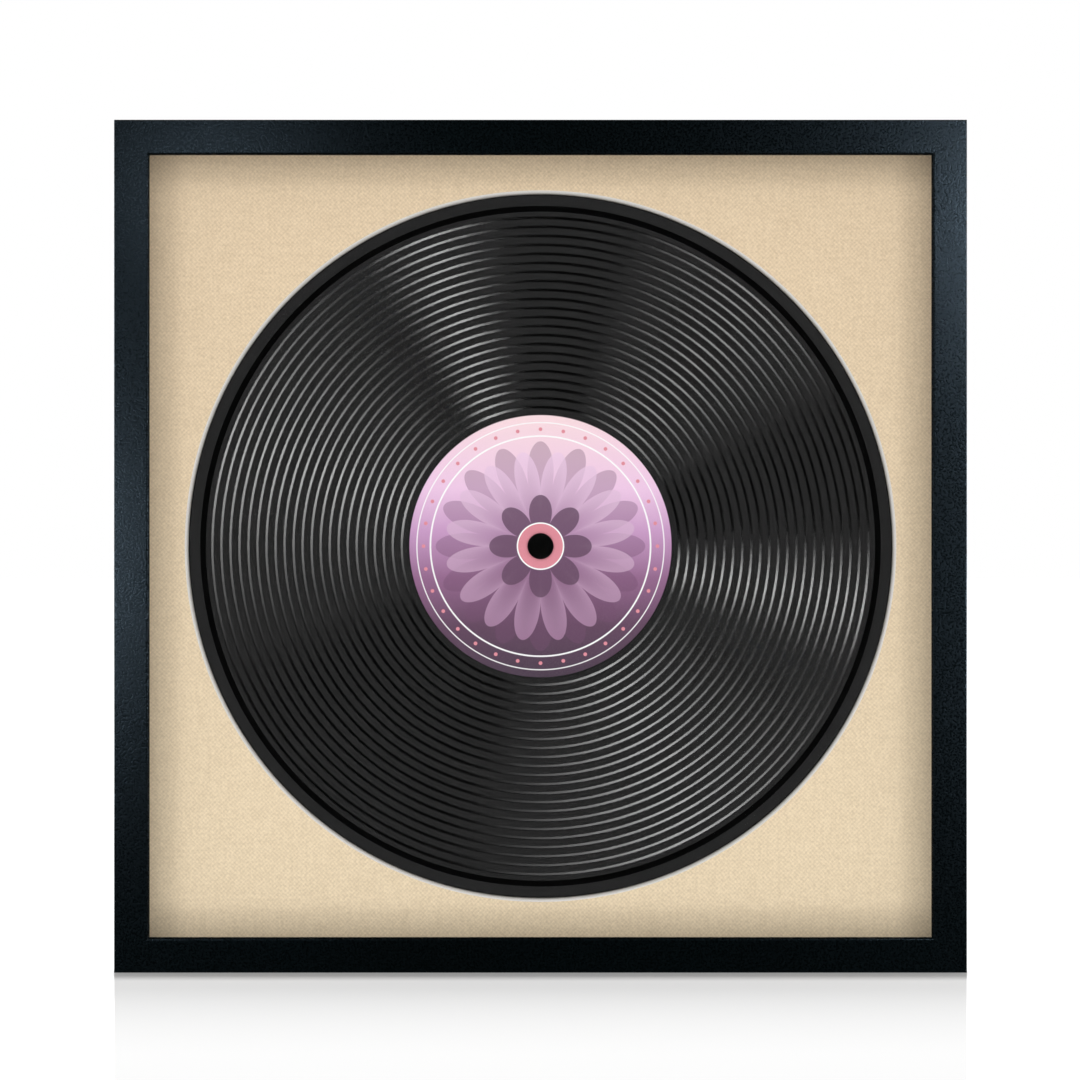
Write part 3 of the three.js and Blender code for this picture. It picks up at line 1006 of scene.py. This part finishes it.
def makeHub(values):
    plastic = grainyFinish("black plastic", values["plastic"])
    edge, shaft, chamfer = values["capRound"], values["shaft"], values["shaftChamfer"]
    low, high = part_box("hub_cap")
    reach = high.y - low.y
    outline = [
        (0, 0),
        *arc(values["capRadius"] - edge, edge, edge, -90, 0),
        (values["capRadius"], values["capThick"]),
        (shaft, values["capThick"]),
        (shaft, reach - chamfer),
        (shaft - chamfer, reach),
        (0, reach),
    ]
    cap = turned("hub_cap_turned", outline, values["sides"], (0, low.y, middle.z))
    finish(smoothed(cap), [plastic], "hub_cap")
    low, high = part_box("hub_nut")
    bore = shaft + values["nutPlay"]
    thick = high.y - low.y
    outline = [
        (bore, 0),
        (values["nutRadius"], 0),
        *arc(values["nutRadius"] - edge, thick - edge, edge, 0, 90, 5),
        (bore, thick),
    ]
    nut = turned("hub_nut_turned", outline, values["sides"], (0, low.y, middle.z))
    finish(smoothed(nut), [plastic], "hub_nut")


makeHub(hub)
print("hub made")


# Boards at the back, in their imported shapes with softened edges
boards = {
    "mount_board": {
        # name, tones, and length and relief of the fibres; then width and steps of the softened edges
        "finish": ("grey board", ((150, 146, 138), (182, 178, 170)), 2.4 * mm, 0.05 * mm),
        "edges": (0.2 * mm, 2),
    },
    "backing_board": {
        "finish": ("brown pressed board", ((112, 82, 52), (158, 124, 86)), 3.5 * mm, 0.08 * mm),
        "edges": (0.35 * mm, 3),
    },
}
for node, values in boards.items():
    recoat(node, paperBoard(*values["finish"]), *values["edges"])
print("boards set")


# Metal fixings
nickel = {
    "tones": ((188, 185, 176), (212, 209, 201)),
    "edgeTone": ((232, 230, 224), 0.5, 0.3 * mm, 1.5 * mm),
    "tarnish": (6 * mm, 0, 1),
    "tarnishRoughness": 0.06,
    "markRoughness": 0.08,  # less and more than its own
    "relief": 0.01 * mm,
    # name, roughness, and how fine the marks are along X, Y and Z
    "plate": ("nickel plate", 0.22, (250, 250, 1800)),
    "wire": ("nickel wire", 0.2, (400, 400, 400)),
    "heads": ("screw metal", 0.2, (900, 300, 900)),
}
screws = {
    "head": 3.4 * mm,
    "headHeight": 1.8 * mm,
    "headEdge": 0.15 * mm,
    "dome": 0.7 * mm,
    "shank": 1.6 * mm,
    "length": 10 * mm,
    "tip": 2.4 * mm,
    "cross": 3.8 * mm,
    "crossWidth": 0.9 * mm,
    "crossDepth": 1 * mm,
    "gap": 0.15 * mm,
    "spins": (12, 67, 31, 83, 48, 5, 74, 22, 58, 39),  # degrees, as each one came to rest
}
buttons = {
    "headRadius": 4.8 * mm,
    "tipRadius": 3.4 * mm,
    "reach": 14.85 * mm,
    "thick": 1.2 * mm,
    "edge": 0.25 * mm,
    "lift": 0.3 * mm,
    "hole": 1.8 * mm,
    "countersink": 0.15 * mm,
}
hangers = {
    "loopOuter": 1.85 * mm,
    "loopInner": 1.05 * mm,
    "loopDegrees": 298,
    "plate": 0.8 * mm,
    "width": 8 * mm,
    "length": 17 * mm,  # from the ring's bar to the plate's end
    "wire": 0.8 * mm,
    "barHalf": 3 * mm,
    "ringHalf": 5.2 * mm,
    "ringSide": 3 * mm,
    "bend": 1.3 * mm,
    "lift": 0.1 * mm,
    "bevel": 0.12 * mm,
}
bumpers = {
    "inset": 22 * mm,
    "radius": 4.6 * mm,
    "thick": 4 * mm,
    "edge": 1 * mm,
    "foot": 0.2 * mm,
    "dish": (0.45, 0.3, 0.35 * mm),  # outer and inner radius as shares of the foot's, and depth
    "rubber": {
        "specular": 0.25,
        "grain": (0.6 * mm, 0.8, 0.05 * mm),
        "tones": ((30, 30, 30), (44, 44, 43)),
        "roughness": (0.72, 0.87),
        "edgeTone": ((84, 83, 80), 0.4, 0.4 * mm, 2 * mm),
        "wornRoughness": 0,
    },
}


def nickelPlate(values, name, roughness, marks):
    metal, tree, shader = startMaterial(name, Metallic=1.0)
    lines = noiseAt(tree, stretched(tree, objectPlace(tree), marks), 1, 3)
    tarnish = clouded(tree, *values["tarnish"])
    colour, _ = edgeTinted(tree, blendColours(tree, tarnish, *values["tones"]), *values["edgeTone"])
    spread = values["markRoughness"]
    rough = between(tree, lines, roughness - spread, roughness + spread)
    rough = calc(tree, "MULTIPLY_ADD", tarnish, values["tarnishRoughness"], rough)
    dress(shader, colour, rough, lines, values["relief"])
    return metal


def crossRing(length, width, depth):
    a, b = length / 2, width / 2
    corner = [(a, -b), (a, b), (b, b), (b, a), (-b, a), (-b, b)]
    return [(x, depth, z) for x, z in corner + [(-x, -z) for x, z in corner]]


def screwMesh(values):
    # underside of the head at zero, point to the front
    head, top, length = values["head"], values["headHeight"], values["length"]
    side = top - values["dome"]
    turns = [radians(10 * i) for i in range(9)]
    outline = [
        (0, -length),
        (values["shank"], values["tip"] - length),
        (values["shank"], 0),
        (head - values["headEdge"], 0),
        (head, values["headEdge"]),
        *[(head * cos(t), side + values["dome"] * sin(t)) for t in turns],  # the domed head
        (0, top),
    ]
    made = turned("screw", outline, steps=40)
    # the cross narrows towards its floor, and its cutter stands a little proud of the dome
    long, wide = values["cross"], values["crossWidth"]
    rings = [crossRing(long * 0.55, wide * 0.8, top - values["crossDepth"])]
    rings += [crossRing(long * 1.04, wide * 1.02, top + 0.1 * mm)]
    return takenMesh(smoothed(cutWith(made, [lofted("cross", rings, loop=False)]), 20))


def buttonMesh(values):
    # a pear-shaped plate round its screw, with its tip upwards
    head, tip, reach = values["headRadius"], values["tipRadius"], values["reach"]
    lean = degrees(asin((head - tip) / reach))

    def outer(inwards):
        upper = arc(0, reach, tip - inwards, lean, 180 - lean, 24)
        return upper + arc(0, 0, head - inwards, 180 - lean, 360 + lean, 40)

    def hole(outwards):
        radius = values["hole"] + outwards
        turns = [atan2(z, x) for x, z in outer(0)]
        return [(radius * cos(t), radius * sin(t)) for t in turns]

    edge, thick, sink = values["edge"], values["thick"], values["countersink"]
    rounding = arc(edge, edge, edge, 180, 270, 4)
    plans = [(hole(0), 0)]
    plans += [(outer(inwards), depth) for depth, inwards in rounding]
    plans += [(outer(inwards), thick - depth) for depth, inwards in rounding[::-1]]
    plans += [(hole(sink), thick), (hole(0), thick - sink)]
    rings = [[(x, depth, z) for x, z in plan] for plan, depth in plans]
    return takenMesh(smoothed(lofted("button", rings)))


def strapMesh(values):
    # a strip rolled round the ring's bar, its plate rounded at the end and drilled for the screw
    outer, inner, side = values["loopOuter"], values["loopInner"], values["width"] / 2
    last = 180 - values["loopDegrees"]
    foot = -values["length"] - 1 * mm
    section = arc(outer, 0, outer, 180, last, 36) + arc(outer, 0, inner, last, 180, 36)
    section += [(values["plate"], foot), (0, foot)]
    strip = bar("strap", section, side)
    wide, neck = side * 1.2, -2.3 * mm  # above its neck the cutter stands clear of the strip
    plan = [(wide, 3 * mm), (-wide, 3 * mm), (-wide, neck + 0.1 * mm), (-side, neck)]
    plan += arc(0, side - values["length"], side, 180, 360, 32)
    plan += [(side, neck), (wide, neck + 0.1 * mm)]
    cutWith(strip, [slab("plan", plan, -1 * mm, 6 * mm)], "INTERSECT")
    cutWith(strip, [screwHole(0, -screwPlaces["hangerDrop"], -1 * mm, 2 * mm, 32)])
    return takenMesh(smoothed(applied(bevelled(strip, values["bevel"], 2))))


def ringMesh(values):
    # round wire bent to a D, hanging from its straight bar
    reach, bend, side = values["ringHalf"], values["bend"], values["ringSide"]
    path = [(values["barHalf"] * share, 0) for share in (-1, -0.5, 0, 0.5, 1)]
    path += arc(reach - bend, -bend, bend, 90, 0, 6)
    path += arc(0, -side, reach, 0, -180, 40)
    path += arc(bend - reach, -bend, bend, 180, 90, 6)
    turns = [2 * pi * k / 20 for k in range(20)]
    rings = []
    for i, (x, z) in enumerate(path):
        before, after = path[i - 1], path[(i + 1) % len(path)]
        along = Vector((after[0] - before[0], 0, after[1] - before[1])).normalized()
        across = Vector((-along.z, 0, along.x))
        around = [across * cos(t) + Vector((0, sin(t), 0)) for t in turns]
        rings.append([Vector((x, 0, z)) + values["wire"] * out for out in around])
    return takenMesh(smoothed(lofted("ring", rings)))


def bumperMesh(values):
    # a dished foot, its flat side against the frame
    radius, thick, edge, foot = values["radius"], values["thick"], values["edge"], values["foot"]
    outer, inner, depth = values["dish"]
    outline = [
        (0, 0),
        (radius - foot, 0),
        (radius, foot),
        *arc(radius - edge, thick - edge, edge, 0, 90),
        (radius * outer, thick),
        (radius * inner, thick - depth),
        (0, thick - depth),
    ]
    return takenMesh(smoothed(turned("bumper", outline, steps=64)))


def makeButtons(plate, heads, screwData, spins):
    buttonData = buttonMesh(buttons)
    buttonX = half - screwPlaces["buttonFromCorner"]
    height = mouldings["wall"] / 2
    seat = backFace + buttons["lift"]
    headSeat = seat + buttons["thick"] + screws["gap"]
    ends = (("left", "right"), ("upper", "lower"), ("right", "left"), ("lower", "upper"))
    for turns, side in enumerate(frameSides):
        for x, end in zip((-buttonX, buttonX), ends[turns]):
            name = side + "_" + end
            button = showing("button_plate_" + name, buttonData, sidePlace(turns, x, seat, height))
            finish(button, [plate], "turn_button_" + name)
            spot = sidePlace(turns, x, headSeat, height, next(spins))
            screw = showing("button_fixing_" + name, screwData, spot)
            finish(screw, [heads], "button_screw_" + name)


def makeHangers(plate, wire, heads, screwData, spins):
    strapData, ringData = strapMesh(hangers), ringMesh(hangers)
    z = screwPlaces["hangerZ"]
    seat = backFace + hangers["lift"]
    for side, way in (("left", -1), ("right", 1)):
        x = way * screwPlaces["hangerX"]
        strap = showing("strap_" + side, strapData, Matrix.Translation((x, seat, z)))
        finish(strap, [plate], "hanger_strap_" + side)
        ring = showing("ring_" + side, ringData, Matrix.Translation((x, seat + hangers["loopOuter"], z)))
        finish(ring, [wire], "hanger_ring_" + side)
        spin = Matrix.Rotation(radians(next(spins)), 4, "Y")
        headSeat = seat + hangers["plate"] + screws["gap"]
        spot = Matrix.Translation((x, headSeat, z - screwPlaces["hangerDrop"]))
        screw = showing("strap_fixing_" + side, screwData, spot @ spin)
        finish(screw, [heads], "hanger_screw_" + side)


def makeBumpers(values):
    rubber = grainyFinish("dark rubber", values["rubber"])
    data = bumperMesh(values)
    for side, way in (("left", -1), ("right", 1)):
        spot = (way * (half - values["inset"]), backFace + hangers["lift"], mouldings["wall"] / 2)
        pad = showing("pad_" + side, data, Matrix.Translation(spot))
        finish(pad, [rubber], "bumper_" + side)


def makeFixings():
    plate, wire, heads = [nickelPlate(nickel, *nickel[kind]) for kind in ("plate", "wire", "heads")]
    screwData = screwMesh(screws)
    spins = iter(screws["spins"])
    makeButtons(plate, heads, screwData, spins)
    makeHangers(plate, wire, heads, screwData, spins)
    makeBumpers(bumpers)
    for number in range(1, 5):
        recoat("v_nail_%d" % number, plate, nails["bevel"], 2)


makeFixings()
print("fixings made")


# Floor: white to the camera, and it keeps the frame's shadow in front; beside that wedge a camera-only glow
# paints the floor white over the shadow
floor = {
    "size": 60,
    "colour": (158, 158, 158),
    "glow": (0.7, 2.6, 0.16, 1.0),  # for the camera only: from and to which distance, and how strong there
    # the painted glow beside it trims the shadow in front to a wedge
    "shadowTaper": 3.0,  # the shadow in front narrows to nothing over this length
    "shadowSide": 1.2 * mm,  # softness of its two sides
}


def makeFloor(values):
    side = values["size"] / 2
    mesh = bpy.data.meshes.new("floor")
    corners = [(-side, -side, 0), (side, -side, 0), (side, side, 0), (-side, side, 0)]
    mesh.from_pydata(corners, [], [(0, 1, 2, 3)])
    ground = showing("floor", mesh)
    ground.visible_diffuse = False
    ground.visible_glossy = False
    ground.visible_shadow = False
    pale, tree, shader = startMaterial("pale floor", Roughness=1.0, Specular_IOR_Level=0.0)
    shader.inputs["Base Color"].default_value = paint(*values["colour"])
    shader.inputs["Emission Strength"].default_value = 1
    place = objectPlace(tree)
    away = addNode(tree, "ShaderNodeVectorMath", {0: place}, operation="LENGTH")["Value"]
    glow = fadeBetween(tree, away, *values["glow"])
    x, y, _ = apart(tree, place)
    ahead = calc(tree, "SUBTRACT", cadLow.y, y)  # beside the narrowing shadow the floor is plain white
    narrowed = calc(tree, "MULTIPLY_ADD", ahead, -half / values["shadowTaper"], half)
    aside = calc(tree, "SUBTRACT", calc(tree, "ABSOLUTE", x), narrowed)
    outside = fadeBetween(tree, aside, -values["shadowSide"] / 2, values["shadowSide"] / 2)
    seen = addNode(tree, "ShaderNodeLightPath", {})["Is Camera Ray"]
    glow = calc(tree, "MULTIPLY", calc(tree, "MAXIMUM", glow, outside), seen)
    feed(tree, shader.inputs["Emission Color"], glow)
    mesh.materials.append(pale)
    ground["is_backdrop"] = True
    return ground


# World: white to the camera. Reflections see long soft strips in a ring round the camera's side.
surroundings = {
    "strips": (
        # middle and half width in degrees round the record's axis from the right, falloff and peak
        (50, 23.5, 1.1, 3.9),
        (110.3, 10.7, 1.2, 7.8),
        (162, 46, 1.9, 6.4),
        (298, 46, 1.9, 6.3),
        (349.7, 10.7, 1.2, 7.8),
    ),
    # each fade: where it starts and ends, and the light at both; the first four in degrees off the axis
    "ringStart": (31, 35, 0, 1),
    "ringEnd": (43, 47, 1, 0),
    "haloStart": (6.5, 8.5, 0, 1),
    "haloEnd": (14, 18, 0.1, 0.01),
    "behind": (-0.2, 0.5, 0, 1),  # what metal at the back reflects, and how it changes upwards and aside
    "behindTall": (-0.6, 0.7, 0.4, 1.15),
    "behindWide": (0.25, 0.75, 1, 0.25),
    "fill": (0.65, 0.75),  # light from all round on matt surfaces, level and from straight up
}


def stripLight(group, given):
    wrapped = calc(group, "WRAP", calc(group, "SUBTRACT", given["Azimuth"], given["Middle"]), 180, -180)
    share = calc(group, "DIVIDE", calc(group, "ABSOLUTE", wrapped), given["Half width"])
    inside = calc(group, "POWER", calc(group, "SUBTRACT", 1, share, clamp=True), given["Falloff"])
    return {"Light": calc(group, "MULTIPLY", inside, given["Peak"])}


def makeWorld(values):
    world = bpy.data.worlds.new("studio")
    world.use_nodes = True
    world.cycles.sampling_method = "NONE"
    scene.world = world
    tree = world.node_tree
    x, y, z = apart(tree, addNode(tree, "ShaderNodeTexCoord", {})["Generated"])
    tilt = calc(tree, "DEGREES", calc(tree, "ARCCOSINE", calc(tree, "MULTIPLY", y, -1)))
    azimuth = calc(tree, "DEGREES", calc(tree, "ARCTAN2", z, x))
    names = ("Middle", "Half_width", "Falloff", "Peak")
    strip = makeGroup("stripLight", stripLight, Azimuth=0.0, **dict(zip(names, (0.0, 20.0, 1.0, 1.0))))
    total = 0
    for sizes in values["strips"]:
        light = placed(tree, strip, Azimuth=azimuth, **dict(zip(names, sizes)))
        total = calc(tree, "ADD", total, light["Light"])

    def both(first, firstFade, second, secondFade):
        fades = fadeBetween(tree, first, *values[firstFade]), fadeBetween(tree, second, *values[secondFade])
        return calc(tree, "MULTIPLY", *fades)

    ring = calc(tree, "MULTIPLY", total, both(tilt, "ringStart", tilt, "ringEnd"))
    halo = both(tilt, "haloStart", tilt, "haloEnd")
    tall = both(z, "behindTall", calc(tree, "ABSOLUTE", x), "behindWide")
    rear = calc(tree, "MULTIPLY", fadeBetween(tree, y, *values["behind"]), tall)
    seen = calc(tree, "ADD", calc(tree, "ADD", halo, ring), rear)
    fill = between(tree, calc(tree, "MAXIMUM", z, 0), *values["fill"])
    ray = addNode(tree, "ShaderNodeLightPath", {})
    light = blend(tree, ray["Is Glossy Ray"], fill, seen)
    white = calc(tree, "MAXIMUM", ray["Is Camera Ray"], ray["Is Transmission Ray"])
    background = tree.nodes["Background"]
    background.inputs["Color"].default_value = (1, 1, 1, 1)
    feed(tree, background.inputs["Strength"], blend(tree, white, light, 1.0))


# Lamps
lamps = {
    # a ring of suns in front and one behind: how many, degrees off the axis and across, and strength
    "front_sun": (12, 37, 14, 0.18),
    "back_sun": (6, 35, 30, 0.3),
    "sunDistance": 5,
    "sheen": {
        # for the mouldings' gloss alone: the middle of each, its side and its power
        "upper_right": ((0.2745, -0.31, 0.337), 0.04, 2.75),
        "lower_right": ((0.3502, -0.27, 0.1612), 0.04, 5.2),
        "left": ((-0.2778, -0.394, 0.1758), 0.04, 1.85),
        "upper_left": ((-0.1554, -0.25, 0.3461), 0.04, 0.227),
        "beside_right": ((1.5, 0.3, 0.8), 0.5, 11),
        "beside_left": ((-1.5, 0.3, 0.8), 0.5, 11),
        "behind_right": ((0.95, 1.05, 0.2), 0.5, 12),
        "behind_left": ((-0.95, 1.05, 0.2), 0.5, 12),
        "above_left": ((-0.9, 1.0, 1.1), 0.4, 1),
        "above": ((0.1, 0.5, 1.9), 0.4, 8),
    },
    "sheenColour": (0.5625, 0.781, 1.0),
    "shadow": {
        # narrow strips behind and above, for the floor alone: lowest and highest elevation, and the power
        "overhead": (82, 87, 698),
        "behind": (39, 75, 567),
    },
    "shadowDistance": 8,
    "shadowWidth": 0.15,
}


def collect(name, members):
    group = bpy.data.collections.new(name)
    for member in members:
        group.objects.link(member)
    return group


def startLamp(name, kind, power):
    data = bpy.data.lights.new(name, kind)
    data.energy = power
    return data


def hang(name, data, place, turn, receivers, *unseenBy):
    # lights only its receivers, and the rays in unseenBy don't meet it
    lamp = bpy.data.objects.new(name, data)
    lamp.location = place
    lamp.rotation_euler = turn
    scene.collection.objects.link(lamp)
    lamp.light_linking.receiver_collection = receivers
    for ray in unseenBy:
        setattr(lamp, "visible_" + ray, False)


def facing(place, target):
    return (Vector(target) - Vector(place)).to_track_quat("-Z", "Y").to_euler()


def sunRing(name, values, forward, receivers):
    count, tilt, spread, strength = values[name]
    lean = radians(tilt)
    for i in range(count):
        turn = 2 * pi * (i + 0.5) / count
        aside = sin(lean)
        place = Vector((aside * cos(turn), forward * cos(lean), aside * sin(turn)))
        place *= values["sunDistance"]
        data = startLamp(name, "SUN", strength)
        data.angle = radians(spread)
        hang("%s_%d" % (name, i), data, place, facing(place, (0, 0, 0)), receivers, "glossy")


def makeLamps(values, ground):
    everything = collect("lit pieces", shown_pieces())
    mouldingPieces = [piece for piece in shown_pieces() if piece.name.startswith("moulding_")]
    rails = collect("lit mouldings", mouldingPieces)
    floorOnly = collect("lit floor", [ground])
    sunRing("front_sun", values, -1, everything)
    sunRing("back_sun", values, 1, everything)
    for name, (place, side, power) in values["sheen"].items():
        data = startLamp(name, "AREA", power)
        data.size = side
        data.color = values["sheenColour"]
        target = (place[0], 0, place[2]) if place[1] < 0 else middle
        hang(name, data, place, facing(place, target), rails, "diffuse", "camera")
    reach = values["shadowDistance"]
    for name, (low, high, power) in values["shadow"].items():
        lean = radians((low + high) / 2)
        data = startLamp(name, "AREA", power)
        data.shape = "RECTANGLE"
        data.size, data.size_y = values["shadowWidth"], reach * radians(high - low)
        place = (0, reach * cos(lean), reach * sin(lean))
        hang(name, data, place, (lean - radians(90), 0, 0), floorOnly, "glossy", "camera")


ground = makeFloor(floor)
makeWorld(surroundings)
makeLamps(lamps, ground)
print("floor, world and lamps set")
